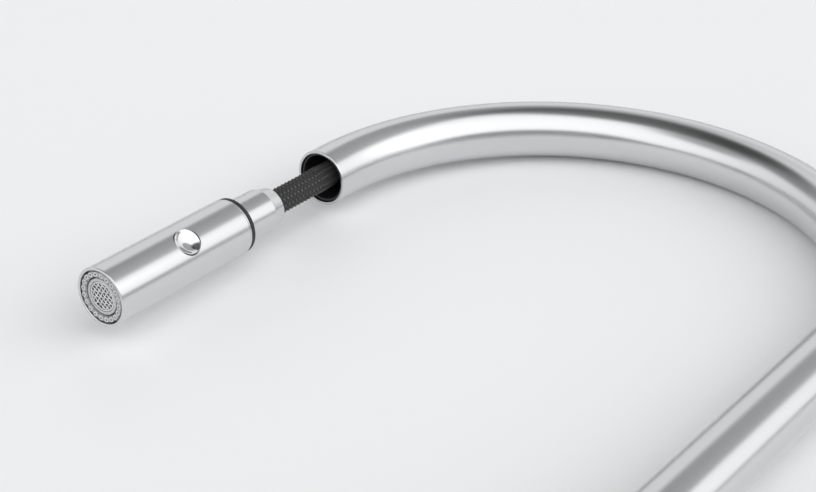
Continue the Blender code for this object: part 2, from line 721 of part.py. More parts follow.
def button():
    depth = 5 * MM
    rim = TUBE_R - 0.15 * MM
    dish = [0, 0.28, 0.55, 0.8, 0.94]
    top = [(BUTTON_R * share, rim - BUTTON_DISH * (1 - share * share)) for share in dish]
    outline = top + [(BUTTON_R, rim - 0.25 * MM), (BUTTON_R, rim - depth), (0, rim - depth)]
    finish(radial(turned("diverter_button", outline, closed=False)), "polished_steel")

    turns = 3
    coil_r = 2.4 * MM
    wire = 0.35 * MM
    low = 2.6 * MM + GAP + wire
    high = rim - depth - BUTTON_STROKE - GAP - wire
    per_turn = 9
    points = []
    for k in range(turns * per_turn + 1):
        angle = 2 * math.pi * k / per_turn
        rise = low + (high - low) * k / (turns * per_turn)
        points.append((coil_r * math.cos(angle), coil_r * math.sin(angle), rise))
    finish(radial(line("button_spring", points, wire, 2)), "polished_steel")


# ---------------------------------------------------------------- cartridge and handle


def along_x(obj):
    """Turn a piece made along local Z to lie along +X at the handle's height."""
    return place(obj, (0, 0, HUB_Z), (0, math.pi / 2, 0))


def along_lever(obj, x=0.0):
    """Turn a piece made along local Z to point the way the lever points."""
    return place(obj, (x, 0, HUB_Z), (LEVER_RISE - math.pi / 2, 0, 0))


def cartridge():
    inner = CARTRIDGE_R - CARTRIDGE_WALL
    floor_x = CARTRIDGE_START + CARTRIDGE_FLOOR
    outline = [
        (CARTRIDGE_R, CARTRIDGE_END),
        (CARTRIDGE_R, CARTRIDGE_START),
        (PIPE_BORE_R, CARTRIDGE_START),
        (PIPE_BORE_R, floor_x),
        (inner, floor_x),
        (inner, CARTRIDGE_END),
    ]
    finish(along_x(turned("cartridge_housing", outline)), "white_plastic")
    seal = ring("cartridge_seal", 6 * MM, 11 * MM, CARTRIDGE_START - 1.1 * MM, CARTRIDGE_START - GAP)
    finish(along_x(seal), "black_rubber")

    fixed_low = floor_x + GAP
    fixed = disc("fixed_disc", FIXED_DISC_R, fixed_low, fixed_low + DISC_T)
    along_x(fixed)
    for turn in (90, 210, 330):
        at = Vector((0, 5.6 * MM * math.cos(math.radians(turn)), 5.6 * MM * math.sin(math.radians(turn))))
        port = cylinder("disc_port", 2.2 * MM, fixed_low - 1 * MM, fixed_low + DISC_T + 1 * MM, 20)
        boolean(fixed, place(port, at + Vector((0, 0, HUB_Z)), (0, math.pi / 2, 0)))
    finish(fixed, "ceramic")

    moving_low = fixed_low + DISC_T + GAP
    finish(along_x(disc("moving_disc", MOVING_DISC_R, moving_low, moving_low + DISC_T)), "ceramic")
    carrier_low = moving_low + DISC_T + GAP
    carrier = disc("disc_carrier", MOVING_DISC_R, carrier_low, carrier_low + 3.4 * MM)
    along_x(carrier)
    socket = box("stem_socket", (7.4 * MM, 7.4 * MM, 5 * MM), (0, 0, carrier_low + 4.4 * MM))
    boolean(carrier, along_x(socket))
    finish(carrier, "grey_plastic")

    turret_low = carrier_low + 3.4 * MM + GAP
    shoulder = CARTRIDGE_END - 0.2 * MM
    neck = 8.5 * MM
    slot = 6.8 * MM
    top = PIVOT_X + 3 * MM
    outline = [
        (neck, top),
        (neck, shoulder),
        (inner - 0.4 * MM, shoulder),
        (inner - 0.4 * MM, turret_low),
        (slot, turret_low),
        (slot, top),
    ]
    turret = along_x(turned("turret", outline))
    pin_hole = cylinder("turret_pin_hole", PIN_R + 0.2 * MM, -neck - 4 * MM, neck + 4 * MM, 20)
    boolean(turret, place(pin_hole, (PIVOT_X, 0, HUB_Z), (LEVER_RISE, 0, 0)))
    finish(turret, "grey_plastic")
    pin = cylinder("pivot_pin", PIN_R, -neck + 0.2 * MM, neck - 0.2 * MM, 20)
    finish(place(pin, (PIVOT_X, 0, HUB_Z), (LEVER_RISE, 0, 0)), "polished_steel")

    nut_bore = neck + 0.5 * MM
    outline = [
        (11 * MM, BOSS_END + 2.4 * MM),
        (11 * MM, BOSS_END),
        (CARTRIDGE_R, BOSS_END),
        (CARTRIDGE_R, CARTRIDGE_END + GAP),
        (nut_bore, CARTRIDGE_END + GAP),
        (nut_bore, BOSS_END + 2.4 * MM),
    ]
    finish(along_x(turned("cartridge_nut", outline)), "brass")
    return carrier_low


def dome():
    inner = DOME_R - DOME_WALL
    low = BOSS_END + GAP
    first = math.asin(DOME_HOLE_R / DOME_R)
    last = math.acos((low - PIVOT_X) / DOME_R)
    inner_first = math.asin(DOME_HOLE_R / inner)
    inner_last = math.acos((low - PIVOT_X) / inner)
    steps = 6
    outside = [first + (last - first) * k / steps for k in range(steps + 1)]
    inside = [inner_last + (inner_first - inner_last) * k / steps for k in range(steps + 1)]
    outline = [(DOME_R * math.sin(a), PIVOT_X + DOME_R * math.cos(a)) for a in outside]
    outline += [(inner * math.sin(a), PIVOT_X + inner * math.cos(a)) for a in inside]
    finish(along_x(turned("cartridge_dome", outline, steps=WIDE_ROUND)), "satin_steel")


def handle(carrier_low):
    clear = DOME_R + GAP
    start = math.radians(52)
    rim_x = PIVOT_X + clear * math.cos(start)
    socket_r = STEM_R + GAP
    socket_top = HUB_END - 3.5 * MM
    first = math.asin(socket_r / clear)
    steps = 5
    cap = [start + (first - start) * k / steps for k in range(steps + 1)]
    edge = 1.4 * MM
    outline = [(0, HUB_END), (HUB_R - edge, HUB_END), (HUB_R - 0.3 * edge, HUB_END - 0.4 * edge)]
    outline += [(HUB_R, HUB_END - edge), (HUB_R, rim_x + 0.4 * MM), (HUB_R - 0.4 * MM, rim_x)]
    outline += [(clear * math.sin(a), PIVOT_X + clear * math.cos(a)) for a in cap]
    outline += [(socket_r, socket_top), (0, socket_top)]
    hub = along_x(turned("handle_hub", outline, closed=False, steps=WIDE_ROUND))
    tail_r = LEVER_R - 0.8 * MM
    tail_start = STEM_R + 1.5 * MM
    cross = cylinder("lever_socket", tail_r + GAP, tail_start - GAP, HUB_R + 2 * MM, 24)
    boolean(hub, along_lever(cross, LEVER_X))
    screw_r = 2.1 * MM
    cross = cylinder("screw_socket", screw_r + GAP, -HUB_R - 2 * MM, -STEM_R - GAP, 24)
    boolean(hub, along_lever(cross, LEVER_X))
    finish(hub, "satin_steel")

    foot = carrier_low + 2.4 * MM
    outline = [
        (0, socket_top - GAP),
        (STEM_R, socket_top - GAP),
        (STEM_R, foot + 2 * MM),
        (STEM_R - 0.8 * MM, foot),
        (0, foot),
    ]
    stem = along_x(turned("stem", outline, closed=False, steps=32))
    hole = cylinder("stem_pin_hole", PIN_R + 0.2 * MM, -STEM_R - 1 * MM, STEM_R + 1 * MM, 20)
    boolean(stem, place(hole, (PIVOT_X, 0, HUB_Z), (LEVER_RISE, 0, 0)))
    finish(stem, "brass")

    start_r = HUB_R + GAP
    tip = 1.6 * MM
    outline = [
        (0, LEVER_LENGTH),
        (LEVER_R - tip, LEVER_LENGTH),
        (LEVER_R - 0.3 * tip, LEVER_LENGTH - 0.4 * tip),
        (LEVER_R, LEVER_LENGTH - tip),
        (LEVER_R, start_r),
        (tail_r, start_r),
        (tail_r, tail_start),
        (0, tail_start),
    ]
    finish(along_lever(turned("lever_rod", outline, closed=False, steps=32), LEVER_X), "satin_steel")

    grub_start = STEM_R + 2 * GAP
    grub_end = HUB_R - 3.4 * MM
    grub = turned("set_screw", [(0, -grub_start), (screw_r, -grub_start), (screw_r, -grub_end), (0, -grub_end)],
                  closed=False, steps=24)
    key = cylinder("hex_key", 1.1 * MM, -grub_end - 1 * MM, -grub_end + 2 * MM, 6)
    boolean(along_lever(grub, LEVER_X), along_lever(key, LEVER_X))
    finish(grub, "polished_steel")
    plug = disc("hub_plug", screw_r, -HUB_R + 0.4 * MM, -grub_end - GAP, 0.2 * MM, 24)
    finish(along_lever(plug, LEVER_X), "grey_plastic")


def main():
    for obj in list(bpy.data.objects):
        bpy.data.objects.remove(obj)
    bpy.context.scene.collection.children.link(faucet)
    bpy.context.scene.collection.children.link(cutters)
    body()
    deck_clamp()
    water_ways()
    hose_connector()
    spout()
    hose()
    hose_end()
    head()
    head_inside()
    button()
    carrier_low = cartridge()
    dome()
    handle(carrier_low)


main()
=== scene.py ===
"""Looks for the pull-down kitchen faucet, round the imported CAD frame. Metres, +Z up, as in the CAD."""

import json
import math

import bmesh
import bpy
import numpy as np
from mathutils import Euler, Matrix, Vector
from mathutils.geometry import interpolate_bezier


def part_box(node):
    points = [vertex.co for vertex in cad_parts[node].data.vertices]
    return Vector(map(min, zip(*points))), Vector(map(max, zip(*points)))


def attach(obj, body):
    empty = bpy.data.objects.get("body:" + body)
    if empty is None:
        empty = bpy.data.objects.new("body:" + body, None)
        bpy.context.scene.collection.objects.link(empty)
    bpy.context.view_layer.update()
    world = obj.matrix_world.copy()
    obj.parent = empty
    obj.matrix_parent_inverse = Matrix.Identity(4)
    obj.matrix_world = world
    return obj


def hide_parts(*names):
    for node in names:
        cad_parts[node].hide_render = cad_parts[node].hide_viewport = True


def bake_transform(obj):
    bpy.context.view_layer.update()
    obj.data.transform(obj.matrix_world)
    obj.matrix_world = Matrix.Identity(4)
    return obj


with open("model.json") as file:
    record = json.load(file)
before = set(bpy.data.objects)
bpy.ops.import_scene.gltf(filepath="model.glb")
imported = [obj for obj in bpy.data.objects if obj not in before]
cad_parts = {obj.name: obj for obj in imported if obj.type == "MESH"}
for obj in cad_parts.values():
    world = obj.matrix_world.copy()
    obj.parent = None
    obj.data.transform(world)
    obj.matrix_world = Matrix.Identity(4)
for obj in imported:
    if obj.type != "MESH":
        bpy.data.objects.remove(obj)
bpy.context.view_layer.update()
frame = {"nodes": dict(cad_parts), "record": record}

MM = 0.001
NODES = frame["nodes"]

# Sizes that the looks share with the CAD, read from the frame's boxes
TUBE_LOW, TUBE_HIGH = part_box("spout_tube")
TUBE_R = (TUBE_HIGH.x - TUBE_LOW.x) / 2
HEAD_LOW, HEAD_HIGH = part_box("head_shell")
HEAD_Y = (HEAD_LOW.y + HEAD_HIGH.y) / 2
ARC_R = -HEAD_Y / 2
ARC_Z = TUBE_HIGH.z - TUBE_R - ARC_R
BUSH_LOW, BUSH_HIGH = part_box("dock_bush")
MOUTH_Z = BUSH_LOW.z - 1 * MM
COLLAR_LOW, COLLAR_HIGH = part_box("dock_collar")
RUN_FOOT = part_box("hose_head_run")[0].z
HOSE_D = 11.4 * MM
HOSE_R = HOSE_D / 2


# ---------------------------------------------------------------- camera


def camera():
    """The view from the handle's side, a little under the deck, looking up along the arch."""
    data = bpy.data.cameras.new("camera")
    data.lens = 80.2
    data.sensor_width = 36
    data.clip_start = 0.01
    data.clip_end = 20
    cam = bpy.data.objects.new("camera", data)
    bpy.context.scene.collection.objects.link(cam)
    at = Vector((0.34976, 0.21457, -0.22589))
    forward = Vector((-0.47595, -0.52736, 0.70382)).normalized()
    up = Vector((0.87939, -0.29635, 0.37262))
    right = forward.cross(up).normalized()
    up = right.cross(forward)
    cam.matrix_world = Matrix.Translation(at) @ Matrix((right, up, -forward)).transposed().to_4x4()
    bpy.context.scene.camera = cam


# ---------------------------------------------------------------- mesh helpers

CORNER_STEPS = 5
MOST_OF_SIDE = 0.45  # a corner takes at most this share of the sides next to it
EDGE_KEEP = 0.12  # a loop this far past each arc keeps flat faces flat in shading
SHARP_ANGLE = math.radians(38)


def mesh_object(name, points, faces, smooth=True):
    """A new mesh object in the scene."""
    mesh = bpy.data.meshes.new(name)
    mesh.from_pydata([tuple(p) for p in points], [], faces)
    mesh.validate()
    if smooth:
        mesh.shade_smooth()
    obj = bpy.data.objects.new(name, mesh)
    bpy.context.scene.collection.objects.link(obj)
    return obj


def rounded(outline, closed=True):
    """Points of an outline of (a, b, corner radius, extra), with each rounded corner turned into an arc."""
    rows = [tuple(p) + (0.0,) * (4 - len(p)) for p in outline]
    count = len(rows)
    out = []
    for k, (a, b, size, extra) in enumerate(rows):
        ends = not closed and k in (0, count - 1)
        if size <= 0 or ends:
            out.append((a, b, extra))
            continue
        here = Vector((a, b))
        before = Vector(rows[k - 1][:2]) - here
        after = Vector(rows[(k + 1) % count][:2]) - here
        one, two = before.normalized(), after.normalized()
        half = one.angle(two) / 2
        longest = MOST_OF_SIDE * min(before.length, after.length)
        reach = min(size / math.tan(half), longest)
        radius = reach * math.tan(half)
        centre = here + (one + two).normalized() * radius / math.sin(half)
        first, last = here + one * reach - centre, here + two * reach - centre
        span = first.angle(last)
        near = EDGE_KEEP * reach
        edge = here + one * (reach + near)
        out.append((edge.x, edge.y, extra))
        for j in range(CORNER_STEPS + 1):
            t = j / CORNER_STEPS
            spot = centre + (first * math.sin((1 - t) * span) + last * math.sin(t * span)) / math.sin(span)
            out.append((spot.x, spot.y, extra))
        edge = here + two * (reach + near)
        out.append((edge.x, edge.y, extra))
    return out


def outward(obj):
    """Turn every face outward and mark the real edges sharp."""
    work = bmesh.new()
    work.from_mesh(obj.data)
    bmesh.ops.recalc_face_normals(work, faces=work.faces)
    work.to_mesh(obj.data)
    work.free()
    obj.data.shade_smooth()
    obj.data.set_sharp_from_angle(angle=SHARP_ANGLE)
    return obj


def lathe(name, outline, closed=True, segments=128, pitch=0.0):
    """Turn an outline of (radius, height, corner radius, thread depth) about Z, with this thread pitch."""
    turn = 2 * np.pi * np.arange(segments) / segments
    points, rings, faces = [], [], []
    for radius, height, depth in rounded(outline, closed):
        if radius < 1e-7:
            rings.append([len(points)])
            points.append((0, 0, height))
            continue
        r = np.full(segments, radius)
        if depth:
            wave = (height / pitch - turn / (2 * np.pi)) % 1.0
            r -= depth * np.clip(np.abs(2 * wave - 1) * 1.25 - 0.1, 0, 1)
        rings.append(list(range(len(points), len(points) + segments)))
        points += list(zip(r * np.cos(turn), r * np.sin(turn), np.full(segments, height)))
    for k in range(len(rings) if closed else len(rings) - 1):
        here, there = rings[k], rings[(k + 1) % len(rings)]
        for j in range(segments):
            m = (j + 1) % segments
            if len(here) == 1:
                faces.append((here[0], there[m], there[j]))
            elif len(there) == 1:
                faces.append((here[j], here[m], there[0]))
            else:
                faces.append((here[j], here[m], there[m], there[j]))
    return outward(mesh_object(name, points, faces))


def thread(radius, high, low, pitch, depth):
    """Outline rows down a screw thread that fades in and out over one turn."""
    count = int((high - low) / pitch * 8)
    rows = []
    for k in range(count + 1):
        z = high + (low - high) * k / count
        fade = min(1.0, (high - z) / pitch, (z - low) / pitch)
        rows.append((radius, z, 0.0, depth * max(fade, 0.0)))
    return rows


def tube_of(name, points, outline, columns=96):
    """A hollow tube along a curve. Its outline is (distance along, radius, corner radius), closed."""
    rows = rounded(outline)
    at, tangent, _ = resample(points, np.array([row[0] for row in rows]))
    turn = 2 * np.pi * np.arange(columns) / columns
    side = np.array([1.0, 0, 0])
    spots = []
    for p, t, row in zip(at, tangent, rows):
        other = np.cross(t, side)
        spots.append(p + row[1] * (np.cos(turn)[:, None] * side + np.sin(turn)[:, None] * other))
    return outward(mesh_object(name, np.concatenate(spots), grid_faces(len(rows), columns, True)))


def block(name, size, centre, edge):
    """A box with rounded edges."""
    work = bmesh.new()
    bmesh.ops.create_cube(work, size=1)
    for vert in work.verts:
        vert.co = Vector([vert.co[k] * size[k] + centre[k] for k in range(3)])
    if edge:
        bmesh.ops.bevel(work, geom=work.edges[:], offset=edge, segments=3, affect="EDGES", profile=0.5)
    mesh = bpy.data.meshes.new(name)
    work.to_mesh(mesh)
    work.free()
    obj = bpy.data.objects.new(name, mesh)
    bpy.context.scene.collection.objects.link(obj)
    return obj


def moved(obj, matrix):
    obj.data.transform(matrix)
    return obj


def cut(obj, *others, operation="DIFFERENCE"):
    """Apply Booleans with these objects, which are used up."""
    for other in others:
        mod = obj.modifiers.new("cut", "BOOLEAN")
        mod.operation = operation
        mod.solver = "EXACT"
        mod.object = other
        depsgraph = bpy.context.evaluated_depsgraph_get()
        mesh = bpy.data.meshes.new_from_object(obj.evaluated_get(depsgraph))
        obj.modifiers.clear()
        obj.data = mesh
        bpy.data.objects.remove(other)
    return outward(obj)


def together(obj, others):
    """Join other meshes into this one as loose parts of the same piece."""
    work = bmesh.new()
    work.from_mesh(obj.data)
    for other in others:
        work.from_mesh(other.data)
        bpy.data.objects.remove(other)
    work.to_mesh(obj.data)
    work.free()
    return outward(obj)


def fit(obj, body, node, slot, matrix=None):
    """Stand a finished piece in for its CAD node."""
    if matrix is not None:
        moved(obj, matrix)
    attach(obj, body)
    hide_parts(node)
    dress(obj, slot)
    return obj


def grid_faces(rows, columns, closed_rows=False):
    """Quads over rows of points, each row a closed ring of columns."""
    faces = []
    for i in range(rows - (0 if closed_rows else 1)):
        j = (i + 1) % rows
        for k in range(columns):
            m = (k + 1) % columns
            faces.append((i * columns + k, i * columns + m, j * columns + m, j * columns + k))
    return faces


def smooth_route(route, steps):
    """The CAD's smooth curve through listed (y, z) points in millimetres."""
    knots = [Vector((0, y, z)) * MM for y, z in route]
    ends = [knots[0] * 2 - knots[1]] + knots + [knots[-1] * 2 - knots[-2]]
    points = []
    for k in range(1, len(ends) - 2):
        before, here, there, after = ends[k - 1 : k + 3]
        reach = (there - here).length
        out = (there - before).normalized() * reach / 3
        back = (after - here).normalized() * reach / 3
        points += interpolate_bezier(here, here + out, there - back, there, steps + 1)[:-1]
    return points + [knots[-1]]


def resample(points, distances):
    """Points and tangents at these distances along a polyline in the plane x = 0."""
    line = np.array([tuple(p) for p in points])
    along = np.concatenate([[0], np.cumsum(np.linalg.norm(np.diff(line, axis=0), axis=1))])
    at = np.stack([np.interp(distances, along, line[:, k]) for k in range(3)], 1)
    small = 0.6 * MM
    ahead = np.stack([np.interp(distances + small, along, line[:, k]) for k in range(3)], 1)
    behind = np.stack([np.interp(distances - small, along, line[:, k]) for k in range(3)], 1)
    tangent = ahead - behind
    return at, tangent / np.linalg.norm(tangent, axis=1)[:, None], along[-1]


BRAID_STRANDS = 12
BRAID_PITCH = 2.3 * MM
BRAID_DEPTH = 0.75 * MM


def weave(u, v):
    """Height of a diamond braid, 0 in the gaps to 1 on the strands, for u strands round and v along."""
    a, b = u + v, u - v
    over = (np.floor(a) + np.floor(b)) % 2
    across_a = np.abs(np.sin(np.pi * a))
    across_b = np.abs(np.sin(np.pi * b))
    return np.where(over > 0.5, across_a * across_b**0.55, 0.62 * across_b * across_a**0.55)


def braided(name, points, distances, phase, per_strand=7):
    """A hose whose braid is real relief: one row of points at each distance, with the braid's phase there."""
    at, tangent, _ = resample(points, distances)
    columns = BRAID_STRANDS * per_strand
    turn = 2 * np.pi * np.arange(columns) / columns
    side = np.array([1.0, 0, 0])
    rows, heights = [], []
    for p, t, v in zip(at, tangent, phase):
        other = np.cross(t, side)
        height = weave(turn / (2 * np.pi) * BRAID_STRANDS, v)
        heights.append(height)
        r = (HOSE_R - BRAID_DEPTH * (1 - height))[:, None]
        rows.append(p + r * (np.cos(turn)[:, None] * side + np.sin(turn)[:, None] * other))
    points_out = np.concatenate(rows)
    count = len(rows)
    faces = grid_faces(count, columns)
    faces.append(tuple(range(columns))[::-1])
    faces.append(tuple((count - 1) * columns + k for k in range(columns)))
    hose = mesh_object(name, points_out, faces)
    # the weave height stays on the points; the braid material reads it for roughness and for its painted
    # shade in the gaps
    hose.data.attributes.new("weave", "FLOAT", "POINT").data.foreach_set("value", np.concatenate(heights))
    return hose


# ---------------------------------------------------------------- hose

# The loop's route as (y, z) points in millimetres, as in the CAD
LOOP_ROUTE = [(-7.3, -60.3), (-7.3, -76), (-8.4, -102), (-12, -148), (-18.4, -200), (-25.6, -252),
              (-30.6, -298), (-31.5, -334), (-24.5, -360), (-5.5, -379), (20.5, -386), (46.5, -379),
              (65.5, -360), (72.5, -334), (71, -302), (64.5, -268), (55.5, -238), (48.2, -214),
              (45.4, -200), (45, -190), (45, -176.9)]
CONNECTOR_AT = Matrix.Translation((0, 45 * MM, 0))


def hose_sleeve():
    """The crimped sleeve that closes the loop's end at the connector."""
    rows = in_mm([(7.4, -176.3, 0.5), (7.4, -181.3, 0.3)])
    for k in range(3):
        top = -181.8 - 2.6 * k
        rows += in_mm([(6.9, top, 0.2), (6.9, top - 1.1, 0.2), (7.3, top - 1.5, 0.2), (7.3, top - 2.1, 0.2)])
    rows += in_mm([(7.4, -190, 0.2), (7.4, -196.3, 0.6), (6.0, -196.3, 0.2)])
    rows += in_mm([(6.0, -176.6), (2.2, -176.6), (2.2, -176.3)])
    return fit(lathe("hose_sleeve_fine", rows), "base", "hose_sleeve", "polished_steel", CONNECTOR_AT)


def hose_loop():
    """The free loop under the deck, from the shank back up to the outlet pipe's connector."""
    points = smooth_route(LOOP_ROUTE, 6)
    path = np.array([tuple(p) for p in points])
    length = float(np.linalg.norm(np.diff(path, axis=0), axis=1).sum())
    step = BRAID_PITCH / 5
    distances = np.linspace(0, length, int(length / step) + 1)
    loop = braided("hose_loop_braid", points, distances, distances / BRAID_PITCH, per_strand=6)
    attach(loop, "base")
    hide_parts("hose_loop")
    hose_sleeve()
    return loop


PULL_RANGE = 0.35  # how far the head pulls out
RUN_TOP = 0.349  # where the sliding stretch of hose ends, up in the arch
HIDE_OVER = 6 * MM  # the hose goes from seen to hidden over this height below the mouth


def hose_head_run():
    """The stretch that slides out of the spout. Its hidden part holds the braid that a pull draws out."""
    stay, move = RUN_TOP, MOUTH_Z - 11 * MM
    rise = np.linspace(RUN_FOOT, stay, 3000)
    t = np.clip((stay - rise) / (stay - move), 0, 1)
    slope = 6 * t * (1 - t) / (stay - move)
    hidden = np.clip((rise - (MOUTH_Z - HIDE_OVER)) / HIDE_OVER, 0, 1)
    rate = (1 + hidden * PULL_RANGE * slope) / BRAID_PITCH
    phase = np.concatenate([[0], np.cumsum((rate[1:] + rate[:-1]) / 2 * np.diff(rise))])
    rows = np.arange(0, phase[-1], 1 / 6)
    heights = np.interp(rows, phase, rise)
    points = []
    for z in heights:
        up = max(0.0, z - ARC_Z)
        points.append(Vector((0, HEAD_Y + ARC_R - math.sqrt(ARC_R**2 - up**2), z)))
    path = np.array([tuple(p) for p in points])
    along = np.concatenate([[0], np.cumsum(np.linalg.norm(np.diff(path, axis=0), axis=1))])
    run = braided("hose_head_braid", points, along, rows)
    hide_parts("hose_head_run")
    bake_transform(run)
    return run


# ---------------------------------------------------------------- stage and light


def stage():
    """The pale table that the faucet lies on: it touches the base flange and the arch, on the -X side."""
    flange_low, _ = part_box("base_flange")
    touch_low = Vector((flange_low.x - 0.4 * MM, 0, flange_low.z))
    touch_high = Vector((TUBE_LOW.x - 0.2 * MM, 0, TUBE_HIGH.z - TUBE_R))
    along = (touch_high - touch_low).normalized()
    normal = Vector((0, 1, 0)).cross(along).normalized()
    if normal.x < 0:
        normal = -normal
    across = along.cross(normal)
    middle = (touch_low + touch_high) / 2
    half = 3.0
    corners = [middle + along * half * a + across * half * b for a, b in ((-1, -1), (1, -1), (1, 1), (-1, 1))]
    table = mesh_object("table", corners, [(0, 1, 2, 3)], smooth=False)
    if table.data.polygons[0].normal.dot(normal) < 0:
        table.data.flip_normals()
    mat = bpy.data.materials.new("table")
    mat.use_nodes = True
    tree = mat.node_tree
    shader = tree.nodes["Principled BSDF"]
    shader.inputs["Base Color"].default_value = (0.89, 0.893, 0.9, 1)
    shader.inputs["Roughness"].default_value = 0.55
    clear = tree.nodes.new("ShaderNodeBsdfTransparent")
    facing = tree.nodes.new("ShaderNodeNewGeometry")
    mix = tree.nodes.new("ShaderNodeMixShader")
    tree.links.new(facing.outputs["Backfacing"], mix.inputs[0])
    tree.links.new(shader.outputs[0], mix.inputs[1])
    tree.links.new(clear.outputs[0], mix.inputs[2])
    tree.links.new(mix.outputs[0], tree.nodes["Material Output"].inputs["Surface"])
    table.data.materials.append(mat)


def studio():
    """A plain soft studio: a pale tent all round, brighter on one side, with soft dark openings in front."""
    world = bpy.data.worlds.new("studio")
    world.use_nodes = True
    bpy.context.scene.world = world
    tree = world.node_tree
    coords = tree.nodes.new("ShaderNodeTexCoord")

    def toward(direction):
        node = tree.nodes.new("ShaderNodeVectorMath")
        node.operation = "DOT_PRODUCT"
        tree.links.new(coords.outputs["Generated"], node.inputs[0])
        node.inputs[1].default_value = Vector(direction).normalized()
        return node.outputs["Value"]

    def spread(source, low, high, at_low, at_high):
        node = tree.nodes.new("ShaderNodeMapRange")
        node.interpolation_type = "SMOOTHSTEP"
        for socket, value in zip(node.inputs[1:5], (low, high, at_low, at_high)):
            socket.default_value = value
        tree.links.new(source, node.inputs["Value"])
        return node.outputs["Result"]

    def times(one, two):
        node = tree.nodes.new("ShaderNodeMath")
        node.operation = "MULTIPLY"
        tree.links.new(one, node.inputs[0])
        tree.links.new(two, node.inputs[1])
        return node.outputs[0]

    level = spread(toward((0.3, 0.8, -0.5)), -1.0, 1.0, 0.85, 1.45)
    openings = [((0.93, -0.3, 0.1), 0.86, 0.96, 0.12), ((0.74, -0.66, 0.08), 0.9, 0.97, 0.3),
                ((0.76, 0, 0.65), 0.885, 0.94, 0.4), ((0.8, -0.45, -0.42), 0.93, 0.99, 0.35)]
    for direction, begin, full, dim in openings:
        level = times(level, spread(toward(direction), begin, full, 1.0, dim))
    bright = spread(toward((0.58, 0.78, 0.25)), 0.93, 0.99, 1.0, 1.9)
    level = times(level, bright)
    side = spread(toward((0, 0.73, -0.68)), 0.55, 1.0, 0.0, 0.26)
    above = tree.nodes.new("ShaderNodeMath")
    above.operation = "SUBTRACT"
    tree.links.new(toward((1, 0, 0)), above.inputs[0])
    tree.links.new(side, above.inputs[1])
    level = times(level, spread(above.outputs[0], 0.05, 0.13, 0.2, 1.0))
    tint = tree.nodes.new("ShaderNodeVectorMath")
    tint.operation = "SCALE"
    tint.inputs[0].default_value = (0.998, 1.0, 1.006)
    tree.links.new(level, tint.inputs["Scale"])
    seen = tree.nodes.new("ShaderNodeLightPath")
    backdrop = tree.nodes.new("ShaderNodeMix")
    backdrop.data_type = "RGBA"
    colour_in, plain_in, colour_out = backdrop.inputs[6], backdrop.inputs[7], backdrop.outputs[2]
    plain_in.default_value = (0.79, 0.795, 0.805, 1)
    tree.links.new(seen.outputs["Is Camera Ray"], backdrop.inputs["Factor"])
    tree.links.new(tint.outputs[0], colour_in)
    background = tree.nodes["Background"]
    tree.links.new(colour_out, background.inputs["Color"])
    background.inputs["Strength"].default_value = 1.04
    bpy.context.scene.view_settings.view_transform = "Standard"


# ---------------------------------------------------------------- materials


def nodes_of(name, colour, metallic, roughness):
    """A new material with these base values, its node tree and its shader."""
    mat = bpy.data.materials.new(name)
    mat.use_nodes = True
    tree = mat.node_tree
    shader = tree.nodes["Principled BSDF"]
    shader.inputs["Base Color"].default_value = (*colour, 1)
    shader.inputs["Metallic"].default_value = metallic
    shader.inputs["Roughness"].default_value = roughness
    return mat, tree, shader


def add_noise(tree, scale, detail=3.0, stretch=(1, 1, 1)):
    coords = tree.nodes.new("ShaderNodeTexCoord")
    mapping = tree.nodes.new("ShaderNodeMapping")
    mapping.inputs["Scale"].default_value = stretch
    tree.links.new(coords.outputs["Object"], mapping.inputs["Vector"])
    noise = tree.nodes.new("ShaderNodeTexNoise")
    noise.inputs["Scale"].default_value = scale
    noise.inputs["Detail"].default_value = detail
    tree.links.new(mapping.outputs["Vector"], noise.inputs["Vector"])
    return noise


def vary(tree, source, low, high, socket):
    """Map a noise to a range and feed it to a socket."""
    spread = tree.nodes.new("ShaderNodeMapRange")
    spread.inputs["From Min"].default_value = 0.3
    spread.inputs["From Max"].default_value = 0.7
    spread.inputs["To Min"].default_value = low
    spread.inputs["To Max"].default_value = high
    tree.links.new(source.outputs["Fac"], spread.inputs["Value"])
    tree.links.new(spread.outputs["Result"], socket)


def bump(tree, shader, source, depth, strength):
    node = tree.nodes.new("ShaderNodeBump")
    node.inputs["Strength"].default_value = strength
    node.inputs["Distance"].default_value = depth
    tree.links.new(source.outputs["Fac"], node.inputs["Height"])
    tree.links.new(node.outputs["Normal"], shader.inputs["Normal"])


def steel(name, colour=(0.66, 0.665, 0.67), roughness=0.23, grain=(1, 1, 18)):
    mat, tree, shader = nodes_of(name, colour, 1.0, roughness)
    fine = add_noise(tree, 900, 2, grain)
    vary(tree, fine, roughness * 0.85, roughness * 1.15, shader.inputs["Roughness"])
    bump(tree, shader, fine, 0.004 * MM, 0.25)
    return mat


def plain(name, colour, roughness, metallic=0.0, depth=0.02 * MM, scale=700):
    mat, tree, shader = nodes_of(name, colour, metallic, roughness)
    fine = add_noise(tree, scale)
    vary(tree, fine, roughness * 0.85, min(1.0, roughness * 1.2), shader.inputs["Roughness"])
    bump(tree, shader, fine, depth, 0.35)
    return mat


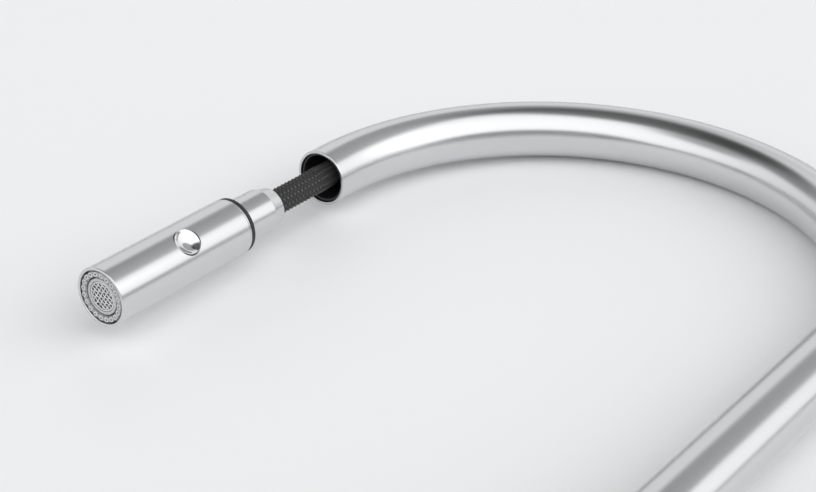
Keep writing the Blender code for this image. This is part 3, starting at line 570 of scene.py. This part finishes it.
MATERIALS = {
    "satin_steel": lambda: steel("satin_steel"),
    "polished_steel": lambda: steel("polished_steel", (0.72, 0.725, 0.73), 0.13),
    "button_steel": lambda: steel("button_steel", (0.74, 0.745, 0.75), 0.1, (1, 1, 1)),
    "wire": lambda: steel("wire", (0.66, 0.665, 0.67), 0.42, (1, 1, 1)),
    "brass": lambda: plain("brass", (0.72, 0.53, 0.26), 0.3, 1.0, 0.008 * MM),
    "copper": lambda: plain("copper", (0.7, 0.4, 0.28), 0.32, 1.0, 0.008 * MM),
    "ceramic": lambda: plain("ceramic", (0.85, 0.84, 0.81), 0.22),
    "black_rubber": lambda: plain("black_rubber", (0.018, 0.018, 0.02), 0.5),
    "black_braid": lambda: plain("black_braid", (0.012, 0.012, 0.014), 0.3, 0.0, 0.006 * MM, 2600),
    "grey_rubber": lambda: plain("grey_rubber", (0.4, 0.405, 0.415), 0.5),
    "nozzle": lambda: plain("nozzle", (0.7, 0.705, 0.715), 0.42),
    "grey_plastic": lambda: plain("grey_plastic", (0.5, 0.51, 0.52), 0.4),
    "white_plastic": lambda: plain("white_plastic", (0.8, 0.8, 0.78), 0.4),
    "black_plastic": lambda: plain("black_plastic", (0.022, 0.022, 0.025), 0.38),
}


def braid():
    """Glossy black yarn: dull in the gaps and smoother on the strands, with its base colour painted near
    black in the gaps and on the lower strands as painted shade, and a little paler on the strand tops.
    """
    mat, tree, shader = nodes_of("braid", (0.012, 0.012, 0.014), 0.0, 0.3)
    shader.inputs["Specular IOR Level"].default_value = 1.0
    height = tree.nodes.new("ShaderNodeAttribute")
    height.attribute_name = "weave"
    spread = tree.nodes.new("ShaderNodeMapRange")
    for socket, value in zip(spread.inputs[1:5], (0.45, 0.85, 0.85, 0.16)):
        socket.default_value = value
    tree.links.new(height.outputs["Fac"], spread.inputs["Value"])
    tree.links.new(spread.outputs["Result"], shader.inputs["Roughness"])
    # painted shade: the base colour runs from near black where the weave is low, in the gaps and on the lower
    # strand family, to a little paler on the strand tops
    gap_shade_ramp = tree.nodes.new("ShaderNodeValToRGB")
    gap_shade_ramp.color_ramp.elements[0].position = 0.2
    gap_shade_ramp.color_ramp.elements[0].color = (0.001, 0.001, 0.001, 1)
    gap_shade_ramp.color_ramp.elements[1].position = 0.9
    gap_shade_ramp.color_ramp.elements[1].color = (0.016, 0.016, 0.018, 1)
    tree.links.new(height.outputs["Fac"], gap_shade_ramp.inputs["Fac"])
    tree.links.new(gap_shade_ramp.outputs["Color"], shader.inputs["Base Color"])
    bump(tree, shader, add_noise(tree, 2600), 0.006 * MM, 0.35)
    return mat


made = {slot: build() for slot, build in MATERIALS.items()}
made["braid"] = braid()


def dress(obj, slot):
    obj.data.materials.clear()
    obj.data.materials.append(made[slot])


# ---------------------------------------------------------------- spout and spray head

HEAD_FRONT, HEAD_REAR = HEAD_LOW.z, HEAD_HIGH.z
AT_HEAD = Matrix.Translation((0, HEAD_Y, 0))
BUTTON_TURN = math.radians(38)
BUTTON_LOW, BUTTON_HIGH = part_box("diverter_button")
BUTTON_AT = Vector((0, HEAD_Y, (BUTTON_LOW.z + BUTTON_HIGH.z) / 2))
RADIAL = Matrix.Translation(BUTTON_AT) @ Euler((0, math.pi / 2, BUTTON_TURN)).to_matrix().to_4x4()
BUTTON_R = 5.65 * MM
BUTTON_DISH = 2 * MM
TUBE_WALL = 1.2 * MM
BUSH_WALL = 0.9 * MM
HEAD_WALL = 1.3 * MM
HEAD_REAR_WALL = 2.5 * MM
GAP = 0.3 * MM


def in_mm(outline):
    """An outline written in millimetres, in metres."""
    return [tuple(value * MM for value in point) for point in outline]


def spout():
    foot = TUBE_LOW.z
    points = [Vector((0, 0, foot)), Vector((0, 0, (foot + ARC_Z) / 2)), Vector((0, 0, ARC_Z))]
    for k in range(1, 361):
        a = math.pi * k / 360
        points.append(Vector((0, ARC_R * (math.cos(a) - 1), ARC_Z + ARC_R * math.sin(a))))
    points.append(Vector((0, HEAD_Y, MOUTH_Z)))
    length = ARC_Z - foot + ARC_R * 2 * 360 * math.sin(math.pi / 720) + ARC_Z - MOUTH_Z
    step = 2 * MM
    inside = TUBE_R - TUBE_WALL
    count = int((length - 2 * MM) / step)
    outline = [(0, TUBE_R)] + [(step * k, TUBE_R) for k in range(1, count)]
    outline += [(length, TUBE_R, 0.3 * MM), (length, inside, 0.2 * MM)]
    outline += [(step * k, inside) for k in range(count - 1, 0, -1)] + [(0, inside)]
    fit(tube_of("spout_fine", points, outline, 112), "spout", "spout_tube", "satin_steel")

    bush = BUSH_HIGH.z - BUSH_LOW.z
    r = (BUSH_HIGH.x - BUSH_LOW.x) / 2
    bore = r - BUSH_WALL
    ring = [(r, bush, 0.2 * MM), (r, 0, 0.2 * MM), (bore, 0, 0.3 * MM), (bore, bush, 0.3 * MM)]
    fit(lathe("dock_bush_fine", ring), "spout", "dock_bush", "black_plastic",
        Matrix.Translation((0, HEAD_Y, BUSH_LOW.z)))


def head():
    r = TUBE_R
    bore = r - HEAD_WALL
    lip = COLLAR_HIGH.x + GAP
    shoulder = HEAD_REAR - HEAD_REAR_WALL
    outline = [(r, HEAD_REAR, 0.4 * MM), (r, HEAD_FRONT, 0.4 * MM), (bore, HEAD_FRONT, 0.3 * MM),
               (bore, shoulder), (lip, shoulder), (lip, HEAD_REAR, 0.15 * MM)]
    shell = moved(lathe("head_shell_fine", outline, segments=256), AT_HEAD)
    reach, start = 16 * MM, 5 * MM
    clear = BUTTON_R + GAP
    hole = lathe("hole", [(0, reach), (clear, reach), (clear, start), (0, start)], closed=False, segments=128)
    fit(cut(shell, moved(hole, RADIAL)), "head", "head_shell", "satin_steel")

    low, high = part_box("dock_washer")
    hole = lip + 0.2 * MM
    ring = [(high.x, high.z, 0.12 * MM), (high.x, low.z, 0.12 * MM), (hole, low.z), (hole, high.z)]
    fit(lathe("dock_washer_fine", ring), "head", "dock_washer", "polished_steel", AT_HEAD)
    low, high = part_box("dock_seal")
    hole = lip + 0.1 * MM
    ring = [(high.x, high.z, 0.5 * MM), (high.x, low.z, 0.5 * MM), (hole, low.z), (hole, high.z)]
    fit(lathe("dock_seal_fine", ring), "head", "dock_seal", "black_rubber", AT_HEAD)

    top = COLLAR_HIGH.z
    outer = COLLAR_HIGH.x
    mouth = HOSE_R + 0.5 * MM
    inner = HOSE_R + 2.9 * MM
    outline = [
        (mouth + 1.6 * MM, top, 0.7 * MM),
        (outer - 0.35 * MM, top - 6 * MM, 1.6 * MM),
        (outer, top - 7 * MM, 1.2 * MM),
        (outer, COLLAR_LOW.z, 0.3 * MM),
        (inner, COLLAR_LOW.z),
        (inner, top - 7.2 * MM),
        (HOSE_R + 1.7 * MM, top - 7.2 * MM),
        (mouth, top - 4.5 * MM, 0.3 * MM),
        (mouth, top, 0.5 * MM),
    ]
    fit(lathe("dock_collar_fine", outline, segments=160), "head", "dock_collar", "satin_steel", AT_HEAD)


NOZZLES = 20
NOZZLE_AT = 9.55 * MM
NOZZLE_R = 0.62 * MM
MESH_PITCH = 1.65 * MM
WIRE_R = 0.35 * MM
WIRE_WAVE = 0.16 * MM
MESH_TURN = math.radians(33)
KEY_TURN = math.radians(146)


def spray_face():
    """The head's face: a ring of soft nozzles and key slots round a cup with a woven mesh in it."""
    front = HEAD_FRONT + 0.4 * MM
    outer = TUBE_R - 1.6 * MM
    inner = outer - 2.65 * MM
    back = front + 4.5 * MM
    step = outer - 0.4 * MM
    ledge = front + 1.6 * MM
    outline = [(step, front, 0.2 * MM), (step, ledge), (outer, ledge), (outer, back, 0.2 * MM),
               (inner, back), (inner, front, 0.25 * MM)]
    face = lathe("spray_ring_fine", outline, segments=160)
    holes, rims = [], []
    for k in range(NOZZLES):
        a = 2 * math.pi * (k + 0.3) / NOZZLES
        at = Matrix.Translation((NOZZLE_AT * math.cos(a), NOZZLE_AT * math.sin(a), 0))
        over, under = back + 1 * MM, front - 1 * MM
        drill = [(0, under), (NOZZLE_R, under), (NOZZLE_R, over), (0, over)]
        holes.append(moved(lathe("drill", drill, closed=False, segments=24), at))
        tip = [(0.98 * MM, front + 0.2 * MM), (0.94 * MM, front - 0.35 * MM, 0.2 * MM),
               (0.55 * MM, front - 0.35 * MM, 0.1 * MM), (0.55 * MM, front + 0.2 * MM)]
        rims.append(moved(lathe("tip", tip, segments=28), at))
    drills = together(holes[0], holes[1:])
    slots = []
    for angle in (KEY_TURN, KEY_TURN + math.pi):
        slot = block("slot", (1.6 * MM, 3 * MM, 3 * MM), (outer, 0, front), 0.0)
        slots.append(moved(slot, Matrix.Rotation(angle, 4, "Z")))
    for k in range(NOZZLES):
        a = 2 * math.pi * (k + 0.8) / NOZZLES
        notch = block("notch", (0.8 * MM, 0.7 * MM, 1.6 * MM), (inner + 0.1 * MM, 0, front), 0.0)
        slots.append(moved(notch, Matrix.Rotation(a, 4, "Z")))
    cut(face, drills, together(slots[0], slots[1:]))
    fit(face, "head", "spray_ring", "grey_rubber", AT_HEAD)
    tips = moved(together(rims[0], rims[1:]), AT_HEAD)
    tips.name = "nozzle_tips"
    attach(tips, "head")
    dress(tips, "nozzle")

    low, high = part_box("aerator_cup")
    r = high.x
    cup = [(r, high.z), (r, low.z, 0.35 * MM), (r - 1.2 * MM, low.z, 0.2 * MM), (r - 1.2 * MM, high.z)]
    fit(lathe("aerator_cup_fine", cup, segments=144), "head", "aerator_cup", "grey_plastic", AT_HEAD)

    low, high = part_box("mesh_screen")
    reach = (high.x - low.x) / 2
    middle = low.z + 0.55 * MM
    wires = []
    turn = Matrix.Rotation(MESH_TURN, 4, "Z")
    for way in (0, 1):
        for k in range(-3, 3):
            off = MESH_PITCH * (k + 0.5)
            half = math.sqrt((reach - WIRE_R) ** 2 - off**2)
            spots = []
            for j in range(61):
                s = half * (j / 30 - 1)
                rise = WIRE_WAVE * math.sin(math.pi * (s / MESH_PITCH + k)) * (1 if way else -1)
                spots.append((s, off, middle + rise) if way else (off, s, middle + rise))
            wires.append(moved(strand("wire", spots, WIRE_R), turn))
    rim = reach + 0.15 * MM
    hoop = [(rim, high.z, 0.2 * MM), (rim, low.z, 0.15 * MM), (reach - 0.5 * MM, low.z, 0.15 * MM),
            (reach - 0.5 * MM, high.z, 0.2 * MM)]
    fit(together(lathe("mesh_screen_fine", hoop), wires), "head", "mesh_screen", "wire", AT_HEAD)


def strand(name, spots, radius, columns=10):
    """A thin round wire through these points."""
    line = np.array(spots)
    tangent = np.gradient(line, axis=0)
    tangent /= np.linalg.norm(tangent, axis=1)[:, None]
    up = np.array([0, 0, 1.0])
    turn = 2 * np.pi * np.arange(columns) / columns
    rows = []
    for p, t in zip(line, tangent):
        side = np.cross(t, up)
        side /= np.linalg.norm(side)
        other = np.cross(side, t)
        rows.append(p + radius * (np.cos(turn)[:, None] * side + np.sin(turn)[:, None] * other))
    faces = grid_faces(len(rows), columns)
    faces.append(tuple(range(columns))[::-1])
    faces.append(tuple((len(rows) - 1) * columns + k for k in range(columns)))
    return mesh_object(name, np.concatenate(rows), faces)


def button():
    rim = TUBE_R - 0.15 * MM
    foot = rim - 5 * MM
    shares = [0.93 * k / 12 for k in range(13)]
    outline = [(BUTTON_R * share, rim - BUTTON_DISH * (1 - share**2)) for share in shares]
    outline += [(BUTTON_R, rim - 0.05 * MM, 0.25 * MM), (BUTTON_R, foot, 0.3 * MM), (0, foot)]
    piece = lathe("button_fine", outline, closed=False, segments=96)
    fit(piece, "button", "diverter_button", "button_steel", RADIAL)


# ---------------------------------------------------------------- body, base and deck clamp

DOME_LOW, DOME_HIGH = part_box("cartridge_dome")
HUB_Z = (DOME_LOW.z + DOME_HIGH.z) / 2
ALONG_X = Matrix.Translation((0, 0, HUB_Z)) @ Matrix.Rotation(math.pi / 2, 4, "Y")
LEVER_RISE = math.radians(15)
SCREW_AT = 24.7 * MM
INLET_AT = 9.2 * MM
INLET_Y = 2.2 * MM


def body():
    outline = in_mm([(0, 118), (21, 118, 0.9), (21, 7.1, 0.9), (0, 7.1)])
    shell = lathe("body_fine", outline, closed=False, segments=256)
    outline = in_mm([(0, 36), (18, 36, 0.7), (18, 0), (0, 0)])
    boss = moved(lathe("boss", outline, closed=False, segments=256), ALONG_X)
    cut(shell, boss, operation="UNION")
    outline = in_mm([(0, 119), (15, 119), (15, 90), (7, 90), (7, 50), (14, 44), (14, 22.6), (16.3, 22.6),
                     (16.3, 0), (0, 0)])
    bore = lathe("bore", outline, closed=False)
    outline = in_mm([(0, 37), (14.3, 37), (14.3, 9), (0, 9)])
    pocket = moved(lathe("pocket", outline, closed=False), ALONG_X)
    fit(cut(shell, bore, pocket), "base", "body_shell", "satin_steel")

    flange = in_mm([(25, 6.8, 1.2), (27, 4.8, 1.2), (27, 1.8, 0.4), (16.6, 1.8), (16.6, 6.8)])
    fit(lathe("base_flange_fine", flange, segments=192), "base", "base_flange", "satin_steel")
    gasket = in_mm([(26, 1.5, 0.3), (26, 0, 0.4), (16.6, 0), (16.6, 1.5)])
    fit(lathe("base_gasket_fine", gasket), "base", "base_gasket", "black_rubber")
    collar = in_mm([(14.3, 126.8, 0.5), (20.4, 120.1, 1.6), (21, 119.3, 0.6), (21, 118.3, 0.3),
                    (12.8, 118.3), (12.8, 126.8, 0.3)])
    fit(lathe("spout_collar_fine", collar, segments=192), "spout", "spout_collar", "satin_steel")


def deck_clamp():
    rows = in_mm([(15.4, 22.3), (16, 21.6), (16, -0.5)])
    rows += thread(16 * MM, -1 * MM, -59.2 * MM, 1.5 * MM, 0.75 * MM)
    rows += in_mm([(15.3, -60, 0.2), (13.7, -60, 0.3), (13.7, 22.3)])
    fit(lathe("shank_fine", rows, pitch=1.5 * MM, segments=144), "base", "shank", "brass")
    washer = in_mm([(28.5, -30, 0.6), (28.5, -33, 0.6), (16.6, -33), (16.6, -30)])
    fit(lathe("rubber_washer_fine", washer), "base", "rubber_washer", "black_rubber")
    washer = in_mm([(28.5, -33.3, 0.35), (28.5, -35.1, 0.35), (16.6, -35.1), (16.6, -33.3)])
    fit(lathe("steel_washer_fine", washer), "base", "steel_washer", "satin_steel")

    outline = in_mm([(0, -35.4), (29.5, -35.4, 0.7), (29.5, -39.4, 0.7), (0, -39.4)])
    nut = lathe("nut_fine", outline, closed=False, segments=160)
    outline = in_mm([(0, -36.4), (22, -36.4), (22, -47.4), (0, -47.4)])
    six = lathe("hex", outline, closed=False, segments=6)
    outline = in_mm([(0, -36), (24, -36), (24, -45.6), (19.4, -47.9), (0, -47.9)])
    cone = lathe("cone", outline, closed=False)
    cut(nut, cut(six, cone, operation="INTERSECT"), operation="UNION")
    holes = [lathe("hole", in_mm([(0, -34), (16.6, -34), (16.6, -49), (0, -49)]), closed=False)]
    for x in (-SCREW_AT, SCREW_AT):
        hole = lathe("hole", in_mm([(0, -34), (2.8, -34), (2.8, -49), (0, -49)]), closed=False, segments=48)
        holes.append(moved(hole, Matrix.Translation((x, 0, 0))))
    fit(cut(nut, *holes), "base", "shank_nut", "brass")

    for number, x in ((1, -SCREW_AT), (2, SCREW_AT)):
        rows = in_mm([(0, -35.4), (2.2, -35.4)])
        rows += thread(2.5 * MM, -35.6 * MM, -56.8 * MM, 0.8 * MM, 0.4 * MM)
        rows += in_mm([(2.5, -57.4), (4.5, -57.4, 0.3), (4.5, -61.4, 0.9), (0, -61.4)])
        screw = lathe(f"clamp_screw_{number}_fine", rows, closed=False, pitch=0.8 * MM, segments=40)
        slot = block("slot", (10 * MM, 1.1 * MM, 3 * MM), (0, 0, -61.4 * MM), 0.0)
        place = Matrix.Translation((x, 0, 0))
        fit(cut(screw, slot), "base", f"clamp_screw_{number}", "polished_steel", place)


def water_ways():
    for name, x in (("inlet_hot", -INLET_AT), ("inlet_cold", INLET_AT)):
        rows = in_mm([(3.5, 29.7), (3.5, -64.6, 0.4), (4.7, -65.8, 0.2)])
        rows += thread(4.7 * MM, -66.2 * MM, -79.4 * MM, 1 * MM, 0.5 * MM)
        rows += in_mm([(4.3, -80, 0.2), (2.2, -80, 0.3), (2.2, 29.7)])
        stub = lathe(name + "_fine", rows, pitch=1 * MM, segments=64)
        fit(stub, "base", name, "brass", Matrix.Translation((x, INLET_Y, 0)))

    route = [(9, 29.7), (9, 0), (9, -55), (12, -80), (23, -100), (36, -118), (44, -134), (45, -141),
             (45, -149.7)]
    points = smooth_route(route, 16)
    _, _, length = resample(points, np.array([0.0]))
    steps = [length * k / 90 for k in range(1, 90)]
    r, bore = 3.5 * MM, 2.2 * MM
    outline = [(0, r, 0.2 * MM)] + [(s, r) for s in steps] + [(length, r, 0.2 * MM)]
    outline += [(length, bore)] + [(s, bore) for s in reversed(steps)] + [(0, bore)]
    fit(tube_of("outlet_pipe_fine", points, outline, 48), "base", "outlet_pipe", "copper")

    outline = in_mm([(9.3, -150, 0.8), (9.3, -156, 0.4), (7.8, -157.5, 0.4), (7.8, -168, 0.4),
                     (9.3, -169.5, 0.4), (9.3, -176, 0.8), (2.2, -176), (2.2, -150)])
    connector = lathe("quick_connector_fine", outline, segments=112)
    tab = block("tab", (10 * MM, 5 * MM, 7 * MM), (0, 9.3 * MM, -162 * MM), 0.7 * MM)
    size = (8 * MM, 1 * MM, 0.6 * MM)
    grips = [block("grip", size, (0, 11.8 * MM, (-160.2 - 1.2 * k) * MM), 0.0) for k in range(4)]
    cut(connector, tab, operation="UNION")
    keep = lathe("keep", in_mm([(0, -149), (2.2, -149), (2.2, -177), (0, -177)]), closed=False, segments=48)
    cut(connector, together(grips[0], grips[1:]), keep)
    fit(connector, "base", "quick_connector", "black_plastic", CONNECTOR_AT)


# ---------------------------------------------------------------- handle


def handle():
    pivot, r = 34 * MM, 16 * MM
    inner = r - 1.6 * MM
    foot, opening = 36.3 * MM, 9 * MM
    first, last = math.asin(opening / r), math.acos((foot - pivot) / r)
    back_first, back_last = math.asin(opening / inner), math.acos((foot - pivot) / inner)
    outline = []
    for k in range(33):
        a = first + (last - first) * k / 32
        outline.append((r * math.sin(a), pivot + r * math.cos(a)))
    for k in range(33):
        a = back_last + (back_first - back_last) * k / 32
        outline.append((inner * math.sin(a), pivot + inner * math.cos(a)))
    fit(lathe("dome_fine", outline, segments=160), "base", "cartridge_dome", "satin_steel", ALONG_X)

    clear = r + GAP
    skirt = math.radians(52)
    rim = pivot + clear * math.cos(skirt)
    first = math.asin(3.8 * MM / clear)
    outline = [(0, 60 * MM), (15.5 * MM, 60 * MM, 1.4 * MM), (15.5 * MM, rim, 0.45 * MM)]
    for k in range(25):
        a = skirt + (first - skirt) * k / 24
        outline.append((clear * math.sin(a), pivot + clear * math.cos(a)))
    outline += in_mm([(3.8, 56.5), (0, 56.5)])
    hub = moved(lathe("handle_hub_fine", outline, closed=False, segments=192), ALONG_X)
    lever_turn = Euler((LEVER_RISE - math.pi / 2, 0, 0)).to_matrix().to_4x4()
    lever_at = Matrix.Translation((54.5 * MM, 0, HUB_Z)) @ lever_turn
    socket = lathe("socket", in_mm([(0, 18), (3.1, 18), (3.1, 4.7), (0, 4.7)]), closed=False, segments=64)
    screw = lathe("socket", in_mm([(0, -3.8), (2.4, -3.8), (2.4, -18), (0, -18)]), closed=False, segments=64)
    cut(hub, moved(socket, lever_at), moved(screw, lever_at))
    fit(hub, "lever", "handle_hub", "satin_steel")

    rod = in_mm([(0, 100), (3.6, 100, 1.6), (3.6, 15.8, 0.25), (2.8, 15.8), (2.8, 5.0), (0, 5.0)])
    rod = lathe("lever_rod_fine", rod, closed=False, segments=96)
    fit(rod, "lever", "lever_rod", "satin_steel", lever_at)
    plug = in_mm([(0, -12.4), (2.1, -12.4), (2.1, -15.1, 0.3), (0, -15.1)])
    plug = lathe("hub_plug_fine", plug, closed=False, segments=64)
    fit(plug, "lever", "hub_plug", "grey_plastic", lever_at)


# ---------------------------------------------------------------- the making

camera()
loop = hose_loop()
run = hose_head_run()
for row in frame["record"]["subparts"]:
    dress(NODES[row["node"]], row["material_slot"])
dress(loop, "braid")
dress(run, "braid")
spout()
head()
spray_face()
button()
body()
deck_clamp()
water_ways()
handle()
stage()
studio()
